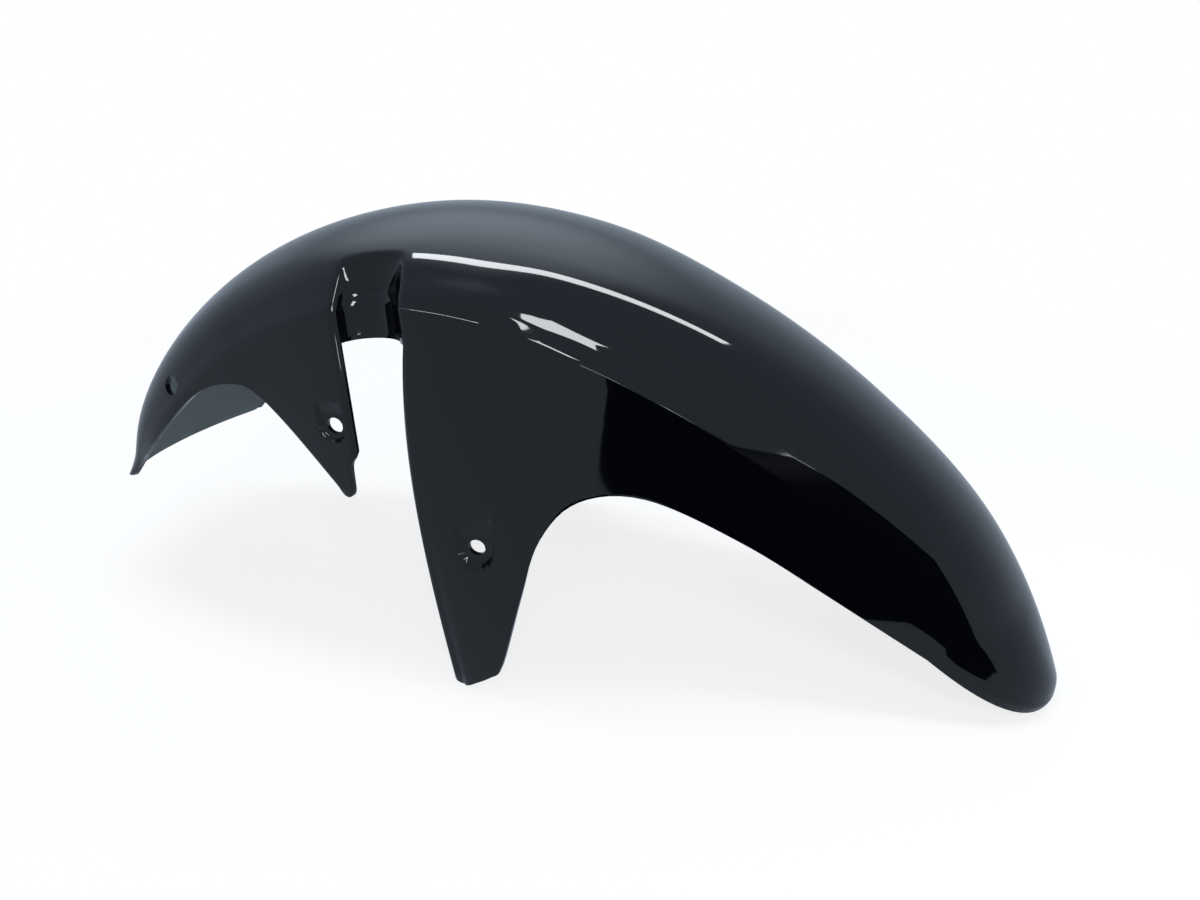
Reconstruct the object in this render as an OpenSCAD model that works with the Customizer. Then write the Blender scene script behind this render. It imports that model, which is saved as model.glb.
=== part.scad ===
// Front mudguard of a motorcycle, moulded as one thin shell.
// The shell is lofted in the fork's own axes: x forward, z up along the fork,
// with the wheel axle at the origin. It is then leaned back and set on its lowest point.

/* [Crown] */
// Crown line radii about the axle, from the tail to the nose, one each station angle
crown_r = [292, 306.5, 317, 324, 327, 326, 327, 341.5, 370.5, 398.5]; // each 280 to 410
// Half width to the shoulder at each station angle
shoulder_w = [66, 70, 75, 76.5, 79.5, 77.5, 68.5, 65.5, 65, 63.5]; // each 60 to 82
// Drop of the shoulder below the crown line at each station angle
camber = [30, 28.5, 24.5, 23.5, 19, 15.5, 14.5, 16.5, 22, 26.5]; // each 12 to 34
// How full the crown arch is, where 2 is a plain parabola
crown_power = 2.2; // [2:0.05:2.6]

/* [Sides] */
// Step outward from the shoulder to the crease at each station angle
band_out = [3, 5, 8, 12.5, 19, 24.5, 14.5, 10, 10, 12]; // each 2 to 28
// Step down from the shoulder to the crease at each station angle
band_down = [14, 16, 22, 25.5, 25, 30.5, 38.5, 39, 35, 30.5]; // each 12 to 42
// Outward lean of the side panel below the crease at each station angle
flare = [0.05, 0.05, 0.05, 0.05, 0.08, 0.11, 0.10, 0.08, 0.06, 0.05]; // each 0.02 to 0.14
// Length of the shoulder's rounding at each station angle
shoulder_round = [16, 16, 15, 13, 12, 13, 20, 28, 28, 24]; // each 8 to 30
// Length of the crease's rounding at each station angle
crease_round = [8, 8, 8, 6, 2, 1.5, 1.5, 3, 6, 7]; // each 1.5 to 9
// Ledge above the side panel, how far it stands out at the fork channel
ledge_out = 6; // [3:0.5:7]
// Ledge above the side panel, how far it falls at the fork channel
ledge_down = 4; // [2:0.5:5]

/* [Wall] */
// Thickness of the moulded wall
wall = 3; // [2.2:0.1:3.4]

/* [Fork channel] */
// Forward place of the channel's middle
channel_x = -3; // [-4:0.5:-1]
// Half length of the channel's mouth
channel_half = 19; // [18:0.5:20.5]
// Rounding of the channel's outer corners
channel_corner = 4.5; // [3.5:0.25:5.5]
// Half width of the crown left between the two channels
channel_inner_w = 77; // [74:0.5:79]
// Height of the channel's foot above the axle
channel_foot = 263; // [258:1:266]

/* [Tabs] */
// Rearward bow of the front tab's rear edge
tab_bow = 8; // [4:0.5:10]
// Front tab bore, forward of the axle and above it
front_bore = [49.5, 148]; // forward 47 to 52, up 143 to 153
// Rear tab bore, forward of the axle and above it
rear_bore = [-36.5, 214]; // forward -38 to -35, up 211 to 217
// Tail bore, forward of the axle and above it
tail_bore = [-160, 231]; // forward -163 to -157, up 228 to 234
// Diameter of the four tab bores
tab_bore_d = 10; // [6:0.5:11]
// Diameter of the two tail bores
tail_bore_d = 12; // [6:0.5:13]
// Swing of the tail bores to the rear of square to the side, in degrees
tail_bore_turn = 19; // [15:0.5:23]
// Upward tilt of the tail bores, in degrees
tail_bore_tilt = 18; // [14:0.5:22]
// Depth of the scooped pockets at the tab bores
pocket_depth = 3.5; // [2.5:0.25:4.5]
// Slope of a pocket's side wall, from its floor out to its mouth
pocket_draft = 2.4; // [1.5:0.1:3]
// Flat seat left round the front tab bore
front_seat = 4.6; // [3.6:0.2:5.6]
// Flat seat left round the rear tab bore
rear_seat = 2.4; // [2:0.1:2.5]
// Height above the front tab bore at which its pocket runs out
front_run = 27; // [24:0.5:30]
// Height above the rear tab bore at which its pocket runs out
rear_run = 15.5; // [14:0.5:18]
// Gap above a tab bore before its pocket's floor starts to ramp out
ramp_gap = 2.5; // [2:0.25:4]

/* [Stance] */
// Lean of the fork axis from upright as the shell stands
lean = 5; // [2:0.5:25]

/* [Hidden] */
$fn = 48;

// Station angles of the crown and side values run from first_angle in equal steps
first_angle = -72;
angle_step = 18;

// Lower edge of the tail and rear tab: ruling angle, x, z, and strips to the next point
rear_edge = [
    [-59.5, -225.5, 160.5, 3], [-45, -195.5, 185, 3], [-31, -141.5, 225.5, 2],
    [-22.1, -108.5, 235.5, 2], [-17.6, -86, 227.5, 3], [-8.5, -44.5, 183, 2],
    [-7.1, -37.6, 174.2, 1], [-6.5, -35, 171.6, 1], [-5.9, -32.3, 171, 1]
];
// Notch low on the rear tab's front edge: x and z
notch_edge = [[-29.8, 172.4], [-28.4, 175.5], [-28, 181], [-27.6, 189]];
// Heights of the rear tab's front corner, up the notch to its front edge
toe_z = [193, 195, 196.5, 200];
// Rounded heel of the front tab: x and z
heel_edge = [[23, 66.5], [24.5, 60.5], [26, 55.5], [31, 54]];
// Lower edge of the front tab, arch and front lobe, as for the rear edge
front_edge = [
    [6.1, 36, 55, 1], [9.2, 52, 64.5, 1], [10.8, 59.5, 73.5, 2], [14.9, 75.5, 121.5, 2],
    [20.2, 88.5, 156.5, 2], [27, 109, 175, 2], [36, 144, 172, 3], [50, 196, 143.5, 3],
    [62.5, 243, 111.5, 4], [75.8, 301.5, 71.5, 0]
];
// The nose closes from the last of these to this angle, its lower edge bending round this point
nose_start = 75.8;
nose_end = 85.5;
nose_bend = [362, 19];
nose_power = 2.5;
nose_strips = 8;

// Rows across one half of the shell
crown_rows = 5;
shoulder_rows = 4;
crease_rows = 2;
tab_rows = 3;
scoop_sides = 14;
skirt_row = crown_rows + shoulder_rows + 1 + 1 + crease_rows + 1;
last_row = skirt_row + tab_rows;

// Channel path: the ellipse starts at this angle past each rounded corner
channel_start = 22;
channel_strips = 8;
corner_strips = 4;
channel_flare = 0.04;
channel_depth = 16;
channel_blend = 5;

// A smooth curve through a list of evenly spaced values
function pick(v, i) =
    i < 0 ? 2 * v[0] - v[1] : i >= len(v) ? 2 * v[len(v) - 1] - v[len(v) - 2] : v[i];
function smooth(v, u) =
    let (q = min(max(u, 0), len(v) - 1.000001), i = floor(q), t = q - i,
         a = pick(v, i - 1), b = pick(v, i), c = pick(v, i + 1), d = pick(v, i + 2))
    b + 0.5 * t * (c - a + t * (2 * a - 5 * b + 4 * c - d + t * (3 * (b - c) + d - a)));
function at(v, angle) = smooth(v, (angle - first_angle) / angle_step);
function column(rows, k) = [for (r = rows) r[k]];
function curve3(p, q, r, t) = (1 - t) * (1 - t) * p + 2 * t * (1 - t) * q + t * t * r;
function clamp01(v) = min(max(v, 0), 1);
// The lesser of two values, with a soft change from one to the other
function soft_min(a, b, h) =
    let (d = b - a) d >= h ? a : d <= -h ? b : (a + b) / 2 - (d * d + h * h) / (4 * h);

// Side view: a point on the crown line, and the angle whose crown point has a given x
function crown_point(angle) = at(crown_r, angle) * [sin(angle), cos(angle)];
function angle_at(x, r = 327, n = 4) = n == 0 ? asin(x / r) : angle_at(x, at(crown_r, asin(x / r)), n - 1);

// One ruling of the loft, from the crown line to the edge point, as rows of [x, y, z].
// wide and tall close the section at the nose, sink is the channel's share of depth,
// bow bends the ruling rearward below the channel's foot, and stop ends it at that foot.
function ruling(angle, edge, wide = 1, tall = 1, sink = 0, bow = 0, stop = false) =
    let (
        crown = crown_point(angle),
        reach = norm(edge - crown),
        down = (edge - crown) / reach,
        w = at(shoulder_w, angle) * wide,
        c = min(at(camber, angle) * tall, reach - 0.001),
        out = at(band_out, angle) * wide,
        drop = at(band_down, angle) * tall,
        close = min(wide, tall),
        full = (reach - c) / drop,
        // shoulder, crease and edge in the plane of the section, as [y, depth]
        shoulder = [w, c],
        share = full < 1 ? 0.75 * full : full < 1.25 ? 0.75 + (full - 1) : 1,
        crease = shoulder + share * [out, drop],
        edge_pt = full < 1 ? shoulder + full * [out, drop]
            : [w + out + at(flare, angle) * (reach - c - drop), reach],
        band = norm(crease - shoulder),
        along = (crease - shoulder) / band,
        panel = norm(edge_pt - crease),
        fall = (edge_pt - crease) / panel,
        round_s = min(at(shoulder_round, angle) * close, 0.6 * band),
        round_c = min(at(crease_round, angle) * close, 0.45 * panel, 0.4 * band),
        // the crown arch runs to start, and its tangent meets the band at bend
        y1 = max(w - 1.15 * round_s, 0.35 * w),
        start = [y1, c * pow(y1 / w, crown_power)],
        slope = crown_power * start[1] / y1,
        t = ((w - y1) * along[1] - (c - start[1]) * along[0]) / (along[1] - slope * along[0]),
        bend = start + t * [1, slope],
        end0 = shoulder + round_s * along,
        end = (end0 - bend) * along < 0.25 * round_s ? bend + 0.25 * round_s * along : end0,
        // the ledge fades out forward of the channel
        ledge = angle > 0 ? clamp01((ledge_end - angle) / (ledge_end - ledge_start)) : 0,
        fold = crease - (1 - ledge) * min(6 * close, 0.25 * band) * along
            - ledge * [ledge_out, ledge_down],
        step = crease - fold,
        into = crease - step * min(round_c / norm(step), 0.6),
        past = crease + round_c * fall,
        // the skirt row is level with the channel's foot near the fork
        near = clamp01((26 - abs(angle - 1)) / 14),
        ease = near * near * (3 - 2 * near),
        level = ((crown[1] - channel_foot) / max(-down[1], 0.001) - past[1]) / max(reach - past[1], 0.000001),
        q = stop ? 1 : ease * min(max(level, 0.04), 0.9) + (1 - ease) * 0.35,
        skirt = past + q * (edge_pt - past),
        rows = concat(
            [for (i = [0:crown_rows - 1]) let (y = y1 * i / crown_rows) [y, c * pow(y / w, crown_power)]],
            [for (i = [0:shoulder_rows]) curve3(start, bend, end, i / shoulder_rows)],
            [fold],
            [for (i = [0:crease_rows]) curve3(into, crease, past, i / crease_rows)],
            [skirt],
            stop ? [] : [for (i = [1:tab_rows]) skirt + (edge_pt - skirt) * i / tab_rows]
        )
    )
    [for (p = rows) let (
        limit = channel_inner_w + channel_flare * max(p[1] - 20, 0),
        y = p[0] - sink * min(p[0] - soft_min(p[0], limit, channel_blend), channel_depth),
        z = crown[1] + down[1] * p[1],
        b = bow > 0 && z < channel_foot ? (channel_foot - z) / (channel_foot - edge[1]) : 0,
        x = crown[0] + down[0] * p[1] - bow * 4 * b * (1 - b) * (1.3 - 0.6 * b)
    ) [x, y, z]];
ledge_start = 4;
ledge_end = 22;

// Points between the rows of an edge table, as many as each row asks for
function table_rulings(table) = [
    for (i = [0:len(table) - 1]) for (j = [0:max(i < len(table) - 1 ? table[i][3] : 1, 1) - 1])
        let (u = i + j / max(table[i][3], 1))
        [smooth(column(table, 0), u), smooth(column(table, 1), u), smooth(column(table, 2), u)]
];

// The rounded channel corner in plan, as [x, share of depth], from 0 at the face to 1 inside
corner = [
    [channel_x - channel_half - channel_corner, 0],
    [channel_x - channel_half, 0],
    [channel_x - channel_half * cos(channel_start), sin(channel_start)]
];
function corner_at(t) = curve3(corner[0], corner[1], corner[2], t);

tail_rulings = [for (r = table_rulings(rear_edge)) ruling(r[0], [r[1], r[2]])];
notch_rulings = [for (p = notch_edge) ruling(angle_at(p[0]), p)];
toe_rulings = [
    for (i = [0:corner_strips - 1]) let (p = corner_at(i / corner_strips))
        ruling(angle_at(p[0]), [p[0], toe_z[i]], sink = p[1])
];
channel_rulings = [
    for (i = [0:channel_strips])
        let (b = channel_start + (180 - 2 * channel_start) * i / channel_strips,
             x = channel_x - channel_half * cos(b))
        ruling(angle_at(x), [x, channel_foot], sink = sin(b), stop = true)
];
heel_rulings = [
    for (i = [0:corner_strips - 1])
        let (p = corner_at(1 - (i + 1) / corner_strips), x = 2 * channel_x - p[0])
        ruling(angle_at(x), heel_edge[i], sink = p[1], bow = tab_bow)
];
front_rulings = [
    for (r = table_rulings(front_edge))
        ruling(r[0], [r[1], r[2]], bow = tab_bow * clamp01((14.9 - r[0]) / 10.5))
];
nose_edge = [for (k = [1, 2]) front_edge[len(front_edge) - 1][k]];
nose_depth = norm(nose_edge - crown_point(front_edge[len(front_edge) - 1][0]));
nose_rulings = [
    for (i = [1:nose_strips])
        let (t = sin(86.4 * i / nose_strips),
             angle = nose_start + (nose_end - nose_start) * t,
             edge = curve3(nose_edge, nose_bend, crown_point(nose_end), t))
        ruling(angle, edge, wide = sqrt(1 - pow(t, nose_power)),
               tall = min(1, norm(edge - crown_point(angle)) / nose_depth))
];

half = concat(tail_rulings, notch_rulings, toe_rulings, channel_rulings,
              heel_rulings, front_rulings, nose_rulings);
toe_last = len(tail_rulings) + len(notch_rulings) + len(toe_rulings) - 1;
heel_first = toe_last + len(channel_rulings) + 1;
strips = len(half) - 1;

// Both halves: row j runs from -last_row on the right to last_row on the left
function has(i, j) = i >= 0 && i <= strips && abs(j) < len(half[i]);
function outer(i, j) = let (p = half[i][abs(j)]) [p[0], j < 0 ? -p[1] : p[1], p[2]];
// Steps to the neighbours, kept inside the shell, for the direction square to the wall
function ahead(i, j) = has(i + 1, j) ? outer(i + 1, j) : outer(i, j);
function behind(i, j) = has(i - 1, j) ? outer(i - 1, j) : outer(i, j);
function square_to(i, j) =
    let (u = ahead(i, j) - behind(i, j),
         v = outer(i, has(i, j + 1) ? j + 1 : j) - outer(i, has(i, j - 1) ? j - 1 : j),
         n = cross(u, v))
    n / norm(n);
function inner(i, j) = outer(i, j) - wall * square_to(i, j);

// Index of each point, outer points first, then inner ones
counts = [for (i = [0:strips]) 2 * len(half[i]) - 1];
starts = [for (i = 0, s = 0; i <= strips; s = s + counts[i], i = i + 1) s];
total = starts[strips] + counts[strips];
function id(i, j, side = 0) = starts[i] + len(half[i]) - 1 + j + side * total;

shell_points = concat(
    [for (i = [0:strips]) for (j = [1 - len(half[i]):len(half[i]) - 1]) outer(i, j)],
    [for (i = [0:strips]) for (j = [1 - len(half[i]):len(half[i]) - 1]) inner(i, j)]
);
function cell_rows(i) = min(len(half[i]), len(half[i + 1])) - 1;
shell_faces = concat(
    // outer and inner faces
    [for (i = [0:strips - 1]) for (j = [-cell_rows(i):cell_rows(i) - 1]) for (f = [0, 1])
        f == 0 ? [id(i, j), id(i, j + 1), id(i + 1, j + 1)] : [id(i, j), id(i + 1, j + 1), id(i + 1, j)]],
    [for (i = [0:strips - 1]) for (j = [-cell_rows(i):cell_rows(i) - 1]) for (f = [0, 1])
        f == 0 ? [id(i, j, 1), id(i + 1, j + 1, 1), id(i, j + 1, 1)]
               : [id(i, j, 1), id(i + 1, j, 1), id(i + 1, j + 1, 1)]],
    // lower edges
    [for (i = [0:strips - 1]) let (j = cell_rows(i)) for (f = [0, 1])
        f == 0 ? [id(i, j), id(i, j, 1), id(i + 1, j, 1)] : [id(i, j), id(i + 1, j, 1), id(i + 1, j)]],
    [for (i = [0:strips - 1]) let (j = -cell_rows(i)) for (f = [0, 1])
        f == 0 ? [id(i, j), id(i + 1, j, 1), id(i, j, 1)] : [id(i, j), id(i + 1, j), id(i + 1, j, 1)]],
    // upright edges of the tabs beside the channel
    [for (j = [skirt_row:last_row - 1]) for (f = [0, 1]) let (i = toe_last)
        f == 0 ? [id(i, j), id(i, j + 1, 1), id(i, j, 1)] : [id(i, j), id(i, j + 1), id(i, j + 1, 1)]],
    [for (j = [skirt_row:last_row - 1]) for (f = [0, 1]) let (i = toe_last)
        f == 0 ? [id(i, -j), id(i, -j, 1), id(i, -j - 1, 1)]
               : [id(i, -j), id(i, -j - 1, 1), id(i, -j - 1)]],
    [for (j = [skirt_row:last_row - 1]) for (f = [0, 1]) let (i = heel_first)
        f == 0 ? [id(i, j), id(i, j, 1), id(i, j + 1, 1)] : [id(i, j), id(i, j + 1, 1), id(i, j + 1)]],
    [for (j = [skirt_row:last_row - 1]) for (f = [0, 1]) let (i = heel_first)
        f == 0 ? [id(i, -j), id(i, -j - 1, 1), id(i, -j, 1)]
               : [id(i, -j), id(i, -j - 1), id(i, -j - 1, 1)]],
    // tail and nose ends
    [for (j = [1 - len(half[0]):len(half[0]) - 2]) for (f = [0, 1])
        f == 0 ? [id(0, j), id(0, j, 1), id(0, j + 1, 1)] : [id(0, j), id(0, j + 1, 1), id(0, j + 1)]],
    [for (j = [1 - len(half[strips]):len(half[strips]) - 2]) for (f = [0, 1]) let (i = strips)
        f == 0 ? [id(i, j), id(i, j + 1, 1), id(i, j, 1)] : [id(i, j), id(i, j + 1), id(i, j + 1, 1)]]
);

// Stance: leaned back by the fork's angle, middle of its length over the origin, lowest point on z = 0
function leaned(p) = [p[0] * cos(lean) - p[2] * sin(lean), p[1], p[0] * sin(lean) + p[2] * cos(lean)];
stood_x = [for (p = shell_points) leaned(p)[0]];
stood_z = [for (p = shell_points) leaned(p)[2]];
origin_shift = [-(min(stood_x) + max(stood_x)) / 2, 0, -min(stood_z)];

// The outer face of the right side panel at [x, z], found between the points of these strips
function flat(p) = [p[0], p[2]];
function wedge(p, q) = p[0] * q[1] - p[1] * q[0];
function on_face(a, b, c, q) =
    let (ab = flat(b) - flat(a), ac = flat(c) - flat(a), aq = q - flat(a), d = wedge(ab, ac),
         u = wedge(aq, ac) / d, v = wedge(ab, aq) / d)
    u >= -0.001 && v >= -0.001 && u + v <= 1.001 ? a[1] + u * (b[1] - a[1]) + v * (c[1] - a[1]) : undef;
function panel_y(q, strips_used) = [
    for (i = [strips_used[0]:strips_used[1]]) for (j = [-cell_rows(i):-crown_rows]) for (f = [0, 1])
        let (y = f == 0 ? on_face(outer(i, j), outer(i, j + 1), outer(i + 1, j + 1), q)
                        : on_face(outer(i, j), outer(i + 1, j + 1), outer(i + 1, j), q))
            if (!is_undef(y)) y
][0];

// Outline of a scoop about its bore: round below, upright sides, level top edge
function scoop_outline(r, top) = concat(
    [for (k = [0:scoop_sides]) let (a = 180 + 180 * k / scoop_sides) r * [cos(a), sin(a)]],
    [[r, top], [-r, top]]
);

// A scoop from its mouth on the panel to a flat floor facing along Y, which ramps out at the top.
// grow widens it, lift extends its mouth, and sunk moves the mouth inward.
module scoop(bore, seat, run, strips_used, floor_at, grow = 0, lift = 0, sunk = 0) {
    floor_r = tab_bore_d / 2 + seat + grow;
    rise = tab_bore_d / 2 + ramp_gap + grow / 2;
    mouth = [for (p = scoop_outline(floor_r + pocket_draft, run + grow)) let (q = bore + p)
        [q[0], panel_y(q, strips_used) + sunk, q[1]]];
    base = [for (p = scoop_outline(floor_r, rise)) [bore[0] + p[0], floor_at, bore[1] + p[1]]];
    top = [for (k = [0:len(mouth) - 1]) mouth[k] + lift * (mouth[k] - base[k])];
    n = len(mouth);
    polyhedron(
        concat(top, base),
        concat(
            [[for (k = [n - 1:-1:0]) k]],
            [[for (k = [0:n - 1]) n + k]],
            [for (k = [0:n - 1]) [k, (k + 1) % n, n + (k + 1) % n, n + k]]
        ),
        convexity = 4
    );
}

// Strips of the right side that the pockets and the tail bore lie within
front_strips = [heel_first, heel_first + 9];
rear_strips = [toe_last - 14, toe_last - 1];
tail_strips = [0, 12];
function floor_y(bore, strips_used) = panel_y(bore, strips_used) + pocket_depth;

module both_sides() {
    children();
    mirror([0, 1, 0]) children();
}

module pocket_wall(bore, seat, run, strips_used) {
    scoop(bore, seat, run, strips_used, floor_y(bore, strips_used) + wall,
          grow = 0.8 * wall, sunk = 0.8 * wall);
}

module pocket_recess(bore, seat, run, strips_used) {
    scoop(bore, seat, run, strips_used, floor_y(bore, strips_used), lift = 0.3);
}

// A round bore through the wall about a point of the right side, turned to the rear and tilted up
module side_bore(at_xz, y, d, turn = 0, tilt = 0) {
    translate([at_xz[0], y, at_xz[1]])
        rotate([90 - tilt, 0, -turn])
            cylinder(h = 6 * wall, d = d, center = true);
}

module shell() {
    polyhedron(shell_points, shell_faces, convexity = 8);
}

// The shell with its pockets, kept as one mesh at its own size
module moulding() {
    resize([0, 0, 0])
        difference() {
            union() {
                shell();
                both_sides() pocket_wall(front_bore, front_seat, front_run, front_strips);
                both_sides() pocket_wall(rear_bore, rear_seat, rear_run, rear_strips);
            }
            both_sides() pocket_recess(front_bore, front_seat, front_run, front_strips);
            both_sides() pocket_recess(rear_bore, rear_seat, rear_run, rear_strips);
        }
}

module mudguard() {
    color([0.06, 0.065, 0.075])
        translate(origin_shift)
            rotate([0, -lean, 0])
                difference() {
                    moulding();
                    both_sides() side_bore(front_bore, floor_y(front_bore, front_strips), tab_bore_d);
                    both_sides() side_bore(rear_bore, floor_y(rear_bore, rear_strips), tab_bore_d);
                    both_sides() side_bore(tail_bore, panel_y(tail_bore, tail_strips), tail_bore_d,
                                           tail_bore_turn, tail_bore_tilt);
                }
}

mudguard();
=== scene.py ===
import math

import bpy
from mathutils import Matrix, Vector


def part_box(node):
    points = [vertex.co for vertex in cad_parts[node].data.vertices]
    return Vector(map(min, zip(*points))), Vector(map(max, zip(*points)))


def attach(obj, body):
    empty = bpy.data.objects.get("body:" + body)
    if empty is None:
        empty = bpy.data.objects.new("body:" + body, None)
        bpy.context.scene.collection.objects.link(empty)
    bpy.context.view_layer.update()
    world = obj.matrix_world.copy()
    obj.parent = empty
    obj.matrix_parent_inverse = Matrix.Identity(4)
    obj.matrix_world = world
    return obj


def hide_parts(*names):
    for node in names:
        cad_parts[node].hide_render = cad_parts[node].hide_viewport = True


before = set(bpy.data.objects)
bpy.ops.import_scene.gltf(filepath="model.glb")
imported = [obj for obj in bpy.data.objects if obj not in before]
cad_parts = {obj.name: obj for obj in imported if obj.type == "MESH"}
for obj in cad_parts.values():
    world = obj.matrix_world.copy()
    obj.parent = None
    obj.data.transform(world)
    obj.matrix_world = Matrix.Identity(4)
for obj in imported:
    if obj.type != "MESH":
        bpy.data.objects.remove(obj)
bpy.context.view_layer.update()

# Lengths below are in millimetres in the fork's own axes: x forward, z up along the
# fork, wheel axle at the origin. MM turns them into metres.
MM = 0.001

# Crown and sides, one value for each station angle from the tail to the nose
FIRST_ANGLE = -72.0
ANGLE_STEP = 18.0
CROWN_R = [292, 306.5, 317, 324, 327, 326, 327, 341.5, 370.5, 398.5]
SHOULDER_W = [66, 70, 75, 76.5, 79.5, 77.5, 68.5, 65.5, 65, 63.5]
CAMBER = [30, 28.5, 24.5, 23.5, 19, 15.5, 14.5, 16.5, 22, 26.5]
BAND_OUT = [3, 5, 8, 12.5, 19, 24.5, 14.5, 10, 10, 12]
BAND_DOWN = [14, 16, 22, 25.5, 25, 30.5, 38.5, 39, 35, 30.5]
FLARE = [0.05, 0.05, 0.05, 0.05, 0.08, 0.11, 0.10, 0.08, 0.06, 0.05]
SHOULDER_ROUND = [16, 16, 15, 13, 12, 13, 20, 28, 28, 24]
CREASE_ROUND = [8, 8, 8, 6, 2, 1.5, 1.5, 3, 6, 7]
CROWN_POWER = 2.2
WALL = 3.0
EDGE_ROUND = 0.6

# An inner point further than this many walls from its outer point is pulled back
WALL_REACH = 1.6

# The shoulder's rounding starts this many of its sizes in, but no nearer to the middle
# than this share of the crown's half width
SHOULDER_REACH = 1.15
CROWN_SHARE = 0.35

# Ledge above the crease: how far its fold lies in and up, growth for each degree past
# LEDGE_FULL, the lip at the crease, and the angles where it rises and fades out
LEDGE_OUT = 3.0
LEDGE_DOWN = 5.3
LEDGE_GROWTH = 0.4
LEDGE_FULL = 4
LEDGE_LIP = (1.1, 0.4)
LEDGE_RISE = (0, 2)
LEDGE_FADE = (10, 18)

# Past the ledge the fold is no more than a soft line, this far up the band at most, and
# at most this share of the band; FOLD_FILLET is the size of its rounding
FOLD_UP = 8
FOLD_SHARE = 0.3
FOLD_FILLET = 0.9

# Fullness of the band above the ledge, and the angles where it rises and fades out
BAND_BULGE = 4.0
BULGE_RISE = (2, 8)
BULGE_FADE = (26, 38)

# Where a band that is cut short has its crease, as a share of its length
CREASE_SHARE = 0.75

# Plain rows of the skirt: their usual share of the panel, least and most share near the
# channel, and the angles either side of SKIRT_ANGLE over which the usual share returns
SKIRT_SHARE = 0.35
SKIRT_LEAST = 0.04
SKIRT_MOST = 0.9
SKIRT_ANGLE = 1
SKIRT_BLEND = (12, 26)

# Fork channel: an ellipse in plan with rounded corners, and the foot of its wall
CHANNEL_X = -3.0
CHANNEL_HALF = 19.0
CHANNEL_CORNER = 4.5
CHANNEL_START = 22.0
CHANNEL_DEPTH = 16.0
CHANNEL_FLARE = 0.04
CHANNEL_BLEND = 1.8
CHANNEL_INNER_W = 77.0
CHANNEL_FLARE_FROM = 20
CHANNEL_FOOT = 263.0
CHANNEL_STRIPS = 8
CORNER_STRIPS = 4

# Lower edge as ruling angle, x, z, and strips to the next point
REAR_EDGE = [
    (-59.5, -225.5, 160.5, 3), (-45, -195.5, 185, 3), (-31, -141.5, 225.5, 2),
    (-22.1, -108.5, 235.5, 2), (-17.6, -86, 227.5, 3), (-8.5, -44.5, 183, 2),
    (-7.1, -37.6, 174.2, 1), (-6.5, -35, 171.6, 1), (-5.9, -32.3, 171, 1),
]
NOTCH_EDGE = [(-29.8, 172.4), (-28.4, 175.5), (-28, 181), (-27.6, 189)]
TOE_Z = [193, 195, 196.5, 200]
HEEL_EDGE = [(23, 66.5), (24.5, 60.5), (26, 55.5), (31, 54)]
FRONT_EDGE = [
    (6.1, 36, 55, 1), (9.2, 52, 64.5, 1), (10.8, 59.5, 73.5, 2), (14.9, 75.5, 121.5, 2),
    (20.2, 88.5, 156.5, 2), (27, 109, 175, 2), (36, 144, 172, 3), (50, 196, 143.5, 3),
    (62.5, 243, 111.5, 4), (75.8, 301.5, 71.5, 1),
]
TAB_BOW = 8.0
TAB_BOW_END = 14.9
TAB_BOW_FADE = 10.5
NOSE_START = FRONT_EDGE[-1][0]
NOSE_END = 85.5
NOSE_LAST_TURN = 88.5
NOSE_BEND = (362.0, 19.0)
NOSE_POWER = 2.5
NOSE_STRIPS = 8

# Bores, and the scoops that the tab bores sit in; the lengths of the cuts are in metres
FRONT_BORE = (49.5, 148.0)
REAR_BORE = (-36.5, 214.0)
TAIL_BORE = (-160.0, 231.0)
TAB_BORE_R = 5.0
TAB_BORE_LENGTH = 0.4
TAIL_BORE_R = 6.0
TAIL_BORE_LENGTH = 0.018
POCKET_DEPTH = 3.5
POCKET_DRAFT = 2.4
POCKET_SEAT = TAB_BORE_R + 2.5
POCKET_MARGINS = (5.0, 3.0)
PANEL_OUT = 85
FRONT_POCKET = (12.0, 27.0)
REAR_POCKET = (9.8, 15.5)
TAIL_BORE_FACE = 80.04
TAIL_BORE_TURN = math.radians(19.0)
TAIL_BORE_TILT = math.radians(18.0)

# Stance: lean of the fork axis
LEAN = math.radians(5.0)

# How much finer the visual mesh is than the solid, along and across
FINE = 3
CROWN_ROWS = 12
SHOULDER_ROWS = 16
BAND_ROWS = 7
FILLET_ROWS = 3
FOLD_ROWS = 3
CREASE_ROWS = 6
SKIRT_ROWS = 5
TAB_ROWS = 24
SKIRT_ROW = (CROWN_ROWS + SHOULDER_ROWS + BAND_ROWS + FILLET_ROWS + FOLD_ROWS
             + CREASE_ROWS + SKIRT_ROWS)
LAST_ROW = SKIRT_ROW + TAB_ROWS


def clamp01(value):
    return min(max(value, 0.0), 1.0)


def ease(value, low, high):
    """Eases from 0 at low to 1 at high."""
    t = clamp01((value - low) / (high - low))
    return t * t * (3 - 2 * t)


def smooth(values, u):
    """A smooth curve through evenly spaced values."""
    last = len(values) - 1
    u = min(max(u, 0.0), last - 1e-9)
    i = int(u)
    t = u - i
    b = values[i]
    c = values[i + 1]
    a = values[i - 1] if i > 0 else 2 * b - c
    d = values[i + 2] if i + 2 <= last else 2 * c - b
    return b + 0.5 * t * (c - a + t * (2 * a - 5 * b + 4 * c - d + t * (3 * (b - c) + d - a)))


def at_angle(values, angle):
    return smooth(values, (angle - FIRST_ANGLE) / ANGLE_STEP)


def curve3(p, q, r, t):
    return (1 - t) ** 2 * p + 2 * t * (1 - t) * q + t * t * r


def soft_min(a, b, h):
    """The lesser of two values, with a soft change from one to the other."""
    d = b - a
    if d >= h:
        return a
    if d <= -h:
        return b
    return (a + b) / 2 - (d * d + h * h) / (4 * h)


def crown_point(angle):
    radius = at_angle(CROWN_R, angle)
    turn = math.radians(angle)
    return Vector((radius * math.sin(turn), radius * math.cos(turn)))


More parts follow.
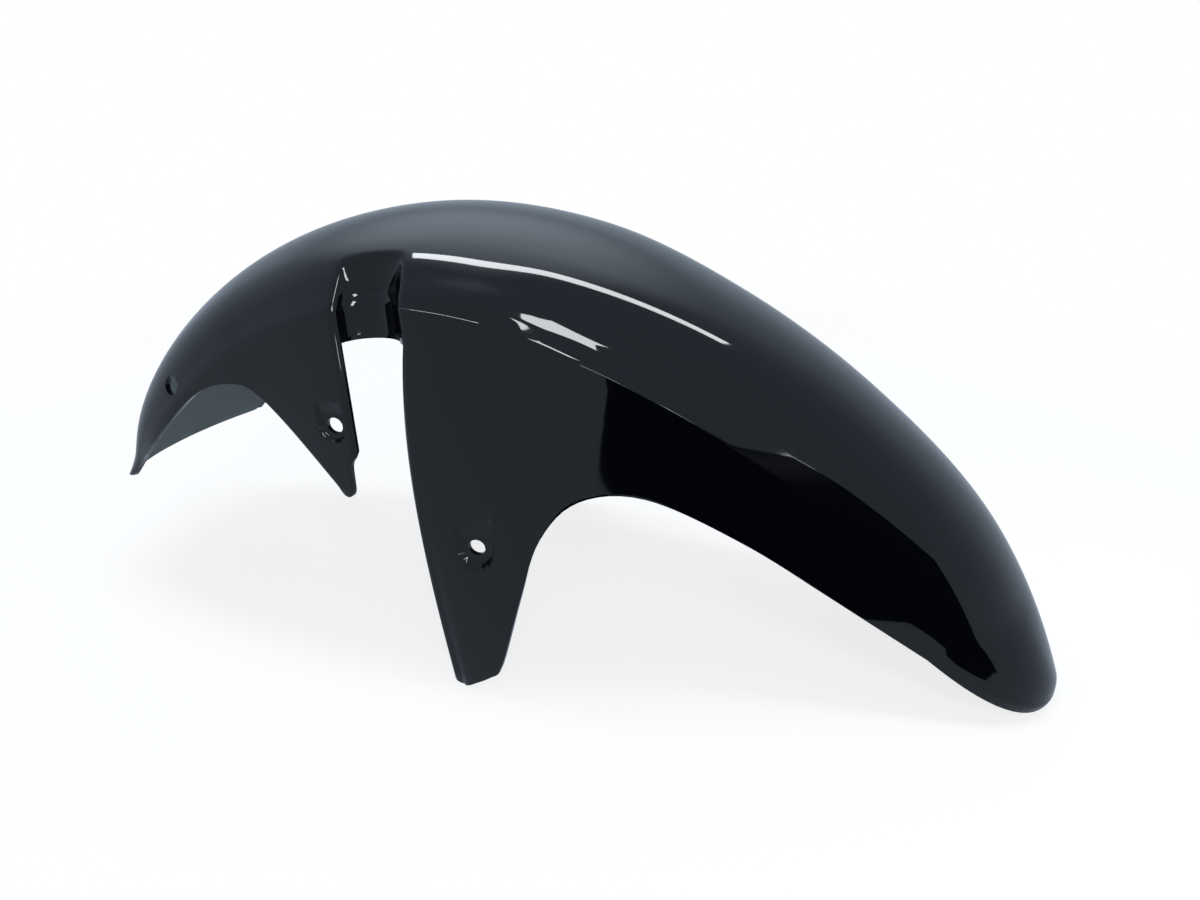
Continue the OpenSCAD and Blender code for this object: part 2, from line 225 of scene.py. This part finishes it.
def angle_at(x):
    """The station angle at which the crown line passes a place along x."""
    radius = CROWN_R[4]
    for _ in range(4):
        radius = at_angle(CROWN_R, math.degrees(math.asin(x / radius)))
    return math.degrees(math.asin(x / radius))


def ruling(angle, edge, wide=1.0, tall=1.0, sink=0.0, bow=0.0, stop=False):
    """Points from the crown line to the edge point, across one half of the shell.

    Each is worked out as a distance out from the middle and a distance down from the
    crown line, towards the edge point, and then pressed in where the channel is.
    """
    edge = Vector(edge)
    crown = crown_point(angle)
    reach = (edge - crown).length
    down = (edge - crown) / reach
    w = at_angle(SHOULDER_W, angle) * wide
    c = min(at_angle(CAMBER, angle) * tall, reach - 0.001)
    out = at_angle(BAND_OUT, angle) * wide
    drop = at_angle(BAND_DOWN, angle) * tall
    close = min(wide, tall)
    full = (reach - c) / drop
    shoulder = Vector((w, c))
    share = CREASE_SHARE * full if full < 1 else min(CREASE_SHARE + (full - 1), 1.0)
    crease = shoulder + share * Vector((out, drop))
    if full < 1:
        edge_pt = shoulder + full * Vector((out, drop))
    else:
        edge_pt = Vector((w + out + at_angle(FLARE, angle) * (reach - c - drop), reach))
    band = (crease - shoulder).length
    lead = (crease - shoulder) / band
    ledge = ease(angle, *LEDGE_RISE) * (1 - ease(angle, *LEDGE_FADE))
    fall_of_ledge = LEDGE_DOWN + LEDGE_GROWTH * max(angle - LEDGE_FULL, 0)
    fold = crease - (1 - ledge) * min(FOLD_UP * close, FOLD_SHARE * band) * lead
    fold = fold - ledge * Vector((LEDGE_OUT, fall_of_ledge))
    along = (fold - shoulder).normalized()
    panel = (edge_pt - crease).length
    fall = (edge_pt - crease) / panel
    round_s = min(at_angle(SHOULDER_ROUND, angle) * close, 0.6 * band)
    round_c = min(at_angle(CREASE_ROUND, angle) * close, 0.45 * panel, 0.4 * band)
    y1 = max(w - SHOULDER_REACH * round_s, CROWN_SHARE * w)
    start = Vector((y1, c * (y1 / w) ** CROWN_POWER))
    slope = CROWN_POWER * start.y / y1
    t = ((w - y1) * along.y - (c - start.y) * along.x) / (along.y - slope * along.x)
    bend = start + t * Vector((1, slope))
    end = shoulder + round_s * along
    if (end - bend).dot(along) < 0.25 * round_s:
        end = bend + 0.25 * round_s * along
    step = crease - fold
    lip = (1 - ledge) * step * min(round_c / step.length, 0.6) + ledge * Vector(LEDGE_LIP)
    into = crease - lip
    past = crease + round_c * fall
    near = 1 - ease(abs(angle - SKIRT_ANGLE), *SKIRT_BLEND)
    level = (crown.y - CHANNEL_FOOT) / max(-down.y, 0.001) - past.y
    level = level / max(reach - past.y, 1e-6)
    held = min(max(level, SKIRT_LEAST), SKIRT_MOST)
    part = 1.0 if stop else near * held + (1 - near) * SKIRT_SHARE
    skirt = past + part * (edge_pt - past)

    rows = []
    for i in range(CROWN_ROWS):
        y = y1 * i / CROWN_ROWS
        rows.append(Vector((y, c * (y / w) ** CROWN_POWER)))
    rows += [curve3(start, bend, end, i / SHOULDER_ROWS) for i in range(SHOULDER_ROWS)]
    fillet = FOLD_FILLET * (2 - ledge)
    before = fold.lerp(end, min(fillet / (end - fold).length, 0.4))
    after = fold.lerp(into, min(fillet / (into - fold).length, 0.4))
    bulge = BAND_BULGE * ease(angle, *BULGE_RISE) * (1 - ease(angle, *BULGE_FADE))
    outward = Vector((along.y, -along.x))
    for i in range(BAND_ROWS):
        v = i / BAND_ROWS
        rows.append(end.lerp(before, v) + bulge * v * v * (1 - v) * outward)
    rows += [curve3(before, fold, after, i / FILLET_ROWS) for i in range(FILLET_ROWS)]
    rows += [after.lerp(into, i / FOLD_ROWS) for i in range(FOLD_ROWS)]
    rows += [curve3(into, crease, past, i / CREASE_ROWS) for i in range(CREASE_ROWS)]
    rows += [past.lerp(skirt, i / SKIRT_ROWS) for i in range(SKIRT_ROWS + 1)]
    if not stop:
        rows += [skirt.lerp(edge_pt, (i + 1) / TAB_ROWS) for i in range(TAB_ROWS)]

    points = []
    for y, s in rows:
        limit = CHANNEL_INNER_W + CHANNEL_FLARE * max(s - CHANNEL_FLARE_FROM, 0)
        y -= sink * min(y - soft_min(y, limit, CHANNEL_BLEND), CHANNEL_DEPTH)
        x = crown.x + down.x * s
        z = crown.y + down.y * s
        if bow > 0 and z < CHANNEL_FOOT:
            b = (CHANNEL_FOOT - z) / (CHANNEL_FOOT - edge.y)
            x -= bow * 4 * b * (1 - b) * (1.3 - 0.6 * b)
        points.append(Vector((x, y, z)))
    return points


def table_points(table, end_too):
    """Angle, x and z along an edge table, FINE times as close as its own strips."""
    points = []
    columns = [[row[k] for row in table] for k in range(3)]
    for i, row in enumerate(table[:-1]):
        count = row[3] * FINE
        points += [[smooth(col, i + j / count) for col in columns] for j in range(count)]
    if end_too:
        points.append([col[-1] for col in columns])
    return points


def corner_at(t):
    """The rounded channel corner in plan: place along x, and share of depth."""
    half = math.radians(CHANNEL_START)
    first = Vector((CHANNEL_X - CHANNEL_HALF - CHANNEL_CORNER, 0))
    turn = Vector((CHANNEL_X - CHANNEL_HALF, 0))
    last = Vector((CHANNEL_X - CHANNEL_HALF * math.cos(half), math.sin(half)))
    return curve3(first, turn, last, t)


def half_shell():
    """All rulings from tail to nose, and the two that stand beside the channel."""
    rows = []
    for angle, x, z in table_points(REAR_EDGE, True):
        rows.append(ruling(angle, (x, z)))
    toe_edge = [(corner_at(k / CORNER_STRIPS).x, z) for k, z in enumerate(TOE_Z)]
    low_edge = [REAR_EDGE[-1][1:3]] + NOTCH_EDGE + toe_edge
    low_x = [p[0] for p in low_edge]
    low_z = [p[1] for p in low_edge]
    notch_end = 1 + len(NOTCH_EDGE)
    for k in range(1, notch_end * FINE):
        u = k / FINE
        rows.append(ruling(angle_at(smooth(low_x, u)), (smooth(low_x, u), smooth(low_z, u))))
    corner_count = CORNER_STRIPS * FINE
    for k in range(corner_count - FINE + 1):
        place = corner_at(k / corner_count)
        z = smooth(low_z, notch_end + k / FINE)
        rows.append(ruling(angle_at(place.x), (place.x, z), sink=place.y))
    toe_last = len(rows) - 1
    count = CHANNEL_STRIPS * FINE
    for k in range(count + 1):
        turn = math.radians(CHANNEL_START + (180 - 2 * CHANNEL_START) * k / count)
        x = CHANNEL_X - CHANNEL_HALF * math.cos(turn)
        rows.append(ruling(angle_at(x), (x, CHANNEL_FOOT), sink=math.sin(turn), stop=True))
    heel_first = len(rows)
    heel = HEEL_EDGE + [FRONT_EDGE[0][1:3], FRONT_EDGE[1][1:3]]
    heel_x = [p[0] for p in heel]
    heel_z = [p[1] for p in heel]
    for k in range(corner_count - FINE + 1):
        place = corner_at(1 - (k + FINE) / corner_count)
        x = 2 * CHANNEL_X - place.x
        edge = (smooth(heel_x, k / FINE), smooth(heel_z, k / FINE))
        rows.append(ruling(angle_at(x), edge, sink=place.y, bow=TAB_BOW))
    last_angle = angle_at(2 * CHANNEL_X - corner_at(0).x)
    for k in range(1, FINE):
        angle = last_angle + (FRONT_EDGE[0][0] - last_angle) * k / FINE
        u = 3 + k / FINE
        rows.append(ruling(angle, (smooth(heel_x, u), smooth(heel_z, u)), bow=TAB_BOW))
    for angle, x, z in table_points(FRONT_EDGE, True):
        bow = TAB_BOW * clamp01((TAB_BOW_END - angle) / TAB_BOW_FADE)
        rows.append(ruling(angle, (x, z), bow=bow))
    nose_edge = Vector(FRONT_EDGE[-1][1:3])
    nose_depth = (nose_edge - crown_point(NOSE_START)).length
    count = NOSE_STRIPS * FINE
    for k in range(1, count + 1):
        t = math.sin(math.radians(NOSE_LAST_TURN) * k / count)
        angle = NOSE_START + (NOSE_END - NOSE_START) * t
        edge = curve3(nose_edge, Vector(NOSE_BEND), crown_point(NOSE_END), t)
        tall = min(1.0, (edge - crown_point(angle)).length / nose_depth)
        rows.append(ruling(angle, edge, wide=math.sqrt(1 - t ** NOSE_POWER), tall=tall))
    return rows, toe_last, heel_first


def pocket_share(x, z, bore, size):
    """How far a point of the panel sinks to the seat: 0 outside the scoop, 1 on its floor."""
    radius, tail = size
    dx = x - bore[0]
    dz = z - bore[1]
    side = radius - (math.hypot(dx, dz) if dz < 0 else abs(dx))
    wall = clamp01(side / POCKET_DRAFT)
    wall = wall * wall * (3 - 2 * wall)
    ramp = clamp01((tail - dz) / (tail - POCKET_SEAT)) if dz > POCKET_SEAT else 1.0
    return wall * ramp


def select_only(obj):
    """Makes obj the one selected and active object."""
    bpy.ops.object.select_all(action="DESELECT")
    obj.select_set(True)
    bpy.context.view_layer.objects.active = obj


def apply_modifier(obj, name):
    """Turns the named modifier of obj into plain mesh."""
    select_only(obj)
    bpy.ops.object.modifier_apply(modifier=name)


def select_faces(obj, wanted):
    """Leaves obj in edit mode with just the wanted faces selected."""
    select_only(obj)
    bpy.ops.object.mode_set(mode="EDIT")
    bpy.ops.mesh.select_mode(type="FACE")
    bpy.ops.mesh.select_all(action="DESELECT")
    bpy.ops.object.mode_set(mode="OBJECT")
    for face in obj.data.polygons:
        face.select = wanted(face)
    bpy.ops.object.mode_set(mode="EDIT")


def in_pocket(point, margin):
    """True for a point of the side panels within a margin round a tab bore's scoop."""
    for bore, (radius, tail) in ((FRONT_BORE, FRONT_POCKET), (REAR_BORE, REAR_POCKET)):
        dx = point.x - bore[0]
        dz = point.z - bore[1]
        across = abs(dx) < radius + margin
        if abs(point.y) > PANEL_OUT and across and -radius - margin < dz < tail + margin:
            return True
    return False


def make_skin():
    """The outer face of the shell: one grid laid over the rulings of both halves."""
    rulings, toe_last, heel_first = half_shell()
    strips = len(rulings) - 1
    bpy.ops.object.select_all(action="DESELECT")
    bpy.ops.mesh.primitive_grid_add(x_subdivisions=strips, y_subdivisions=2 * LAST_ROW, size=2)
    skin = bpy.context.object
    skin.name = "mudguard_shell"
    spare = set()
    for vert in skin.data.vertices:
        i = round((vert.co.x + 1) / 2 * strips)
        j = round((vert.co.y + 1) / 2 * 2 * LAST_ROW) - LAST_ROW
        row = min(abs(j), len(rulings[i]) - 1)
        x, y, z = rulings[i][row]
        vert.co = (x, math.copysign(y, j) if j else 0.0, z)
        if abs(j) > SKIRT_ROW and toe_last < i < heel_first:
            spare.add(vert.index)
    select_faces(skin, lambda face: any(v in spare for v in face.vertices))
    bpy.ops.mesh.delete(type="FACE")
    bpy.ops.mesh.select_all(action="SELECT")
    bpy.ops.mesh.delete_loose(use_verts=True, use_edges=True, use_faces=False)
    bpy.ops.object.mode_set(mode="OBJECT")
    return skin


def sink_pockets(skin):
    """Closer faces round the tab bores, pressed in to flat seats."""
    for margin in POCKET_MARGINS:
        select_faces(skin, lambda face: in_pocket(face.center, margin))
        bpy.ops.mesh.subdivide(number_cuts=1)
        bpy.ops.object.mode_set(mode="OBJECT")
    for bore, size in ((FRONT_BORE, FRONT_POCKET), (REAR_BORE, REAR_POCKET)):
        near = [v for v in skin.data.vertices if abs(v.co.y) > PANEL_OUT
                and math.hypot(v.co.x - bore[0], v.co.z - bore[1]) < TAB_BORE_R]
        floor = sum(abs(v.co.y) for v in near) / len(near) - POCKET_DEPTH
        for vert in skin.data.vertices:
            if abs(vert.co.y) < PANEL_OUT:
                continue
            share = pocket_share(vert.co.x, vert.co.z, bore, size)
            if share > 0:
                y = abs(vert.co.y)
                vert.co.y = math.copysign(y + share * min(floor - y, 0.0), vert.co.y)


def stand(obj):
    """From the fork's axes into the row frame, standing as the solid does."""
    turned = Matrix.Rotation(-LEAN, 4, "Y")
    obj.data.transform(turned @ Matrix.Scale(MM, 4))
    low = [min(v.co[k] for v in obj.data.vertices) for k in range(3)]
    high = [max(v.co[k] for v in obj.data.vertices) for k in range(3)]
    return low, high


def hold_wall(skin):
    """Keeps each inner point within its wall's reach of the outer point above it."""
    points = skin.data.vertices
    count = len(points) // 2
    reach = WALL_REACH * WALL * MM
    for i in range(count):
        run = points[i + count].co - points[i].co
        if run.length > reach:
            points[i + count].co = points[i].co + run * (reach / run.length)


def drill(obj, at, along, radius, depth):
    """A round hole about a point of the row frame, along a direction."""
    bpy.ops.object.select_all(action="DESELECT")
    bpy.ops.mesh.primitive_cylinder_add(
        vertices=64, radius=radius * MM, depth=depth, location=at,
        rotation=Vector(along).to_track_quat("Z", "Y").to_euler())
    tool = bpy.context.object
    cut = obj.modifiers.new("hole", "BOOLEAN")
    cut.operation = "DIFFERENCE"
    cut.solver = "EXACT"
    cut.object = tool
    apply_modifier(obj, "hole")
    bpy.data.objects.remove(tool, do_unlink=True)


def gloss_black():
    """Glossy black moulded plastic with a faint uneven skin."""
    mat = bpy.data.materials.new("gloss_black_plastic")
    mat.use_nodes = True
    nodes = mat.node_tree.nodes
    links = mat.node_tree.links
    shader = nodes["Principled BSDF"]
    shader.inputs["Base Color"].default_value = (0.0014, 0.0016, 0.0026, 1)
    shader.inputs["Roughness"].default_value = 0.045
    shader.inputs["IOR"].default_value = 1.5
    coords = nodes.new("ShaderNodeTexCoord")
    ripple = nodes.new("ShaderNodeTexNoise")
    ripple.inputs["Scale"].default_value = 60
    ripple.inputs["Detail"].default_value = 1
    bump = nodes.new("ShaderNodeBump")
    bump.inputs["Strength"].default_value = 0.03
    bump.inputs["Distance"].default_value = 0.0003
    links.new(coords.outputs["Object"], ripple.inputs["Vector"])
    links.new(ripple.outputs["Fac"], bump.inputs["Height"])
    links.new(bump.outputs["Normal"], shader.inputs["Normal"])
    return mat


def matt_inside():
    """Unpainted inner face: matt grey-green moulded plastic with a fine grain."""
    mat = bpy.data.materials.new("matt_grey_inside")
    mat.use_nodes = True
    nodes = mat.node_tree.nodes
    links = mat.node_tree.links
    shader = nodes["Principled BSDF"]
    shader.inputs["Base Color"].default_value = (0.14, 0.165, 0.155, 1)
    shader.inputs["Roughness"].default_value = 0.6
    coords = nodes.new("ShaderNodeTexCoord")
    grain = nodes.new("ShaderNodeTexNoise")
    grain.inputs["Scale"].default_value = 900
    grain.inputs["Detail"].default_value = 4
    bump = nodes.new("ShaderNodeBump")
    bump.inputs["Strength"].default_value = 0.15
    bump.inputs["Distance"].default_value = 0.0002
    links.new(coords.outputs["Object"], grain.inputs["Vector"])
    links.new(grain.outputs["Fac"], bump.inputs["Height"])
    links.new(bump.outputs["Normal"], shader.inputs["Normal"])
    return mat


def make_mudguard():
    """The whole moulding, and the function that places a point of it in the row frame."""
    skin = make_skin()
    sink_pockets(skin)
    low, high = stand(skin)
    cad_low, cad_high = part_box("mudguard")
    shift_x = (cad_low[0] + cad_high[0]) / 2 - (low[0] + high[0]) / 2
    shift = Vector((shift_x, 0, cad_high[2] - high[2]))
    skin.data.transform(Matrix.Translation(shift))
    skin.data.materials.append(gloss_black())
    skin.data.materials.append(matt_inside())
    wall = skin.modifiers.new("wall", "SOLIDIFY")
    wall.thickness = WALL * MM
    wall.offset = -1
    wall.use_even_offset = True
    wall.material_offset = 1
    wall.material_offset_rim = 0
    apply_modifier(skin, "wall")
    hold_wall(skin)

    stance = Matrix.Rotation(-LEAN, 3, "Y")

    def place(bore, y=0.0):
        return stance @ Vector((bore[0], y, bore[1])) * MM + shift

    drill(skin, place(FRONT_BORE), (0, 1, 0), TAB_BORE_R, TAB_BORE_LENGTH)
    drill(skin, place(REAR_BORE), (0, 1, 0), TAB_BORE_R, TAB_BORE_LENGTH)
    for side in (-1, 1):
        out = Vector((-math.sin(TAIL_BORE_TURN) * math.cos(TAIL_BORE_TILT),
                      side * math.cos(TAIL_BORE_TURN) * math.cos(TAIL_BORE_TILT),
                      math.sin(TAIL_BORE_TILT)))
        drill(skin, place(TAIL_BORE, side * TAIL_BORE_FACE), stance @ out, TAIL_BORE_R,
              TAIL_BORE_LENGTH)
    soften = skin.modifiers.new("soften", "BEVEL")
    soften.width = EDGE_ROUND * MM
    soften.segments = 2
    soften.limit_method = "ANGLE"
    soften.angle_limit = math.radians(55)
    apply_modifier(skin, "soften")
    select_only(skin)
    bpy.ops.object.shade_smooth_by_angle(angle=math.radians(40))
    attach(skin, "root")
    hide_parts("mudguard")
    return skin, place


# Camera, measured from the photo: focal length in the photo's pixels, and its three
# directions and place in the fork's axes
PHOTO_WIDTH = 1200
FOCAL_PX = 733.0
CAMERA_TURN = (
    (0.96990, 0.23499, -0.06377),
    (-0.03748, 0.40288, 0.91449),
    (0.24059, -0.88457, 0.39956),
)
CAMERA_SHIFT = (-82.54, -144.25, -587.99)


def make_camera(place):
    turn = Matrix(CAMERA_TURN)
    eye = -(turn.transposed() @ Vector(CAMERA_SHIFT))
    stance = Matrix.Rotation(-LEAN, 3, "Y")
    data = bpy.data.cameras.new("camera")
    data.sensor_width = 36
    data.lens = 36 * FOCAL_PX / PHOTO_WIDTH
    cam = bpy.data.objects.new("camera", data)
    bpy.context.collection.objects.link(cam)
    facing = (stance @ turn.transposed()).to_4x4()
    origin = place((0, 0))
    cam.matrix_world = Matrix.Translation(origin + stance @ eye * MM) @ facing
    bpy.context.scene.camera = cam


def area_light(name, at, toward, along, size, power):
    """A rectangular lamp at a point, facing another, its long side along a direction."""
    data = bpy.data.lights.new(name, "AREA")
    data.shape = "RECTANGLE"
    data.size = size[0]
    data.size_y = size[1]
    data.energy = power
    data.color = (0.93, 0.97, 1.0)
    lamp = bpy.data.objects.new(name, data)
    bpy.context.collection.objects.link(lamp)
    back = (Vector(at) - Vector(toward)).normalized()
    up = back.cross(Vector(along)).normalized()
    side = up.cross(back)
    turn = Matrix((side, up, back)).transposed().to_4x4()
    lamp.matrix_world = Matrix.Translation(Vector(at)) @ turn


def make_floor():
    """A white floor that keeps the soft shadow, and looks slate grey in the gloss."""
    bpy.ops.object.select_all(action="DESELECT")
    bpy.ops.mesh.primitive_plane_add(size=60, location=(0, 0, 0))
    floor = bpy.context.object
    floor.name = "floor"
    mat = bpy.data.materials.new("white_floor")
    mat.use_nodes = True
    nodes = mat.node_tree.nodes
    links = mat.node_tree.links
    matt = nodes["Principled BSDF"]
    matt.inputs["Base Color"].default_value = (0.8, 0.8, 0.8, 1)
    matt.inputs["Roughness"].default_value = 0.9
    matt.inputs["Specular IOR Level"].default_value = 0
    white = nodes.new("ShaderNodeEmission")
    white.inputs["Color"].default_value = (1, 1, 1, 1)
    coords = nodes.new("ShaderNodeTexCoord")
    round_about = nodes.new("ShaderNodeMapping")
    round_about.inputs["Scale"].default_value = (0.8, 0.8, 0.8)
    fade = nodes.new("ShaderNodeTexGradient")
    fade.gradient_type = "SPHERICAL"
    share = nodes.new("ShaderNodeValToRGB")
    share.color_ramp.elements[0].color = (1, 1, 1, 1)
    share.color_ramp.elements[1].position = 0.5
    share.color_ramp.elements[1].color = (0.8, 0.8, 0.8, 1)
    seen = nodes.new("ShaderNodeMixShader")
    links.new(coords.outputs["Object"], round_about.inputs["Vector"])
    links.new(round_about.outputs["Vector"], fade.inputs["Vector"])
    links.new(fade.outputs["Fac"], share.inputs["Fac"])
    links.new(share.outputs["Color"], seen.inputs["Fac"])
    links.new(matt.outputs["BSDF"], seen.inputs[1])
    links.new(white.outputs["Emission"], seen.inputs[2])
    mirrored = nodes.new("ShaderNodeEmission")
    mirrored.inputs["Color"].default_value = (0.72, 0.84, 1.0, 1)
    mirrored.inputs["Strength"].default_value = 0.55
    path = nodes.new("ShaderNodeLightPath")
    pick = nodes.new("ShaderNodeMixShader")
    links.new(path.outputs["Is Camera Ray"], pick.inputs["Fac"])
    links.new(mirrored.outputs["Emission"], pick.inputs[1])
    links.new(seen.outputs["Shader"], pick.inputs[2])
    links.new(pick.outputs["Shader"], nodes["Material Output"].inputs["Surface"])
    floor.data.materials.append(mat)


def make_dark_reflection_card():
    """A black card beside the right flank, seen in the gloss alone: a painted dark reflection
    on the right side panel, clear to the camera and casting no shadow.
    """
    bpy.ops.object.select_all(action="DESELECT")
    bpy.ops.mesh.primitive_plane_add(size=1, location=(0, 0, 0))
    reflection_card = bpy.context.object
    reflection_card.name = "dark_reflection_card"
    outline = ((0.110, 0.002), (0.40, 0.002), (0.087, 0.185), (0.36, 0.105))
    corners = [(x, -0.18, z) for x, z in outline]
    for vertex, corner in zip(reflection_card.data.vertices, corners):
        vertex.co = corner
    mat = bpy.data.materials.new("painted_dark_reflection")
    mat.use_nodes = True
    nodes = mat.node_tree.nodes
    links = mat.node_tree.links
    card = nodes["Principled BSDF"]
    # Near-black colour seen only by glossy rays: a painted dark reflection on the lower right
    # flank
    card.inputs["Base Color"].default_value = (0.004, 0.004, 0.006, 1)
    card.inputs["Specular IOR Level"].default_value = 0
    clear = nodes.new("ShaderNodeBsdfTransparent")
    path = nodes.new("ShaderNodeLightPath")
    pick = nodes.new("ShaderNodeMixShader")
    links.new(path.outputs["Is Glossy Ray"], pick.inputs["Fac"])
    links.new(clear.outputs["BSDF"], pick.inputs[1])
    links.new(card.outputs["BSDF"], pick.inputs[2])
    links.new(pick.outputs["Shader"], nodes["Material Output"].inputs["Surface"])
    reflection_card.data.materials.append(mat)


def make_world():
    """Even slate light with a soft glow high behind the left side, white to the camera."""
    world = bpy.context.scene.world or bpy.data.worlds.new("world")
    bpy.context.scene.world = world
    world.use_nodes = True
    tree = world.node_tree
    tree.nodes.clear()
    coords = tree.nodes.new("ShaderNodeTexCoord")
    toward = tree.nodes.new("ShaderNodeVectorMath")
    toward.operation = "DOT_PRODUCT"
    toward.inputs[1].default_value = (-0.24, 0.48, 0.84)
    glow = tree.nodes.new("ShaderNodeValToRGB")
    glow.color_ramp.interpolation = "EASE"
    glow.color_ramp.elements[0].position = 0.75
    glow.color_ramp.elements[0].color = (0.21, 0.25, 0.30, 1)
    glow.color_ramp.elements[1].position = 0.99
    glow.color_ramp.elements[1].color = (0.62, 0.73, 0.84, 1)
    dim = tree.nodes.new("ShaderNodeBackground")
    dim.inputs["Strength"].default_value = 1.8
    bright = tree.nodes.new("ShaderNodeBackground")
    bright.inputs["Color"].default_value = (1, 1, 1, 1)
    bright.inputs["Strength"].default_value = 1.0
    path = tree.nodes.new("ShaderNodeLightPath")
    pick = tree.nodes.new("ShaderNodeMixShader")
    out = tree.nodes.new("ShaderNodeOutputWorld")
    tree.links.new(coords.outputs["Generated"], toward.inputs[0])
    tree.links.new(toward.outputs["Value"], glow.inputs["Fac"])
    tree.links.new(glow.outputs["Color"], dim.inputs["Color"])
    tree.links.new(path.outputs["Is Camera Ray"], pick.inputs["Fac"])
    tree.links.new(dim.outputs[0], pick.inputs[1])
    tree.links.new(bright.outputs[0], pick.inputs[2])
    tree.links.new(pick.outputs[0], out.inputs["Surface"])


def make_lamps():
    """A strip overhead for the long highlight, a panel for the patch on the band, and a
    low strip for the thin line on the crease."""
    flank = (0.03, -0.1, 0.22)
    area_light("strip_over", (0.12, 0.05, 1.54), (0.12, 0.05, 0.0),
               (1, 0, 0), (1.92, 0.18), 16.5)
    area_light("patch_front", (0.483, -1.075, 1.117), flank,
               (0.677, -0.303, -0.671), (0.749, 0.253), 9.2)
    area_light("strip_low", (0.70, -1.45, 0.08), (0.03, -0.1, 0.2),
               (0.906, 0.423, 0), (0.3, 0.08), 0.45)


mudguard, place_in_row = make_mudguard()
make_camera(place_in_row)
make_floor()
make_dark_reflection_card()
make_world()
make_lamps()
bpy.context.scene.view_settings.view_transform = "Standard"
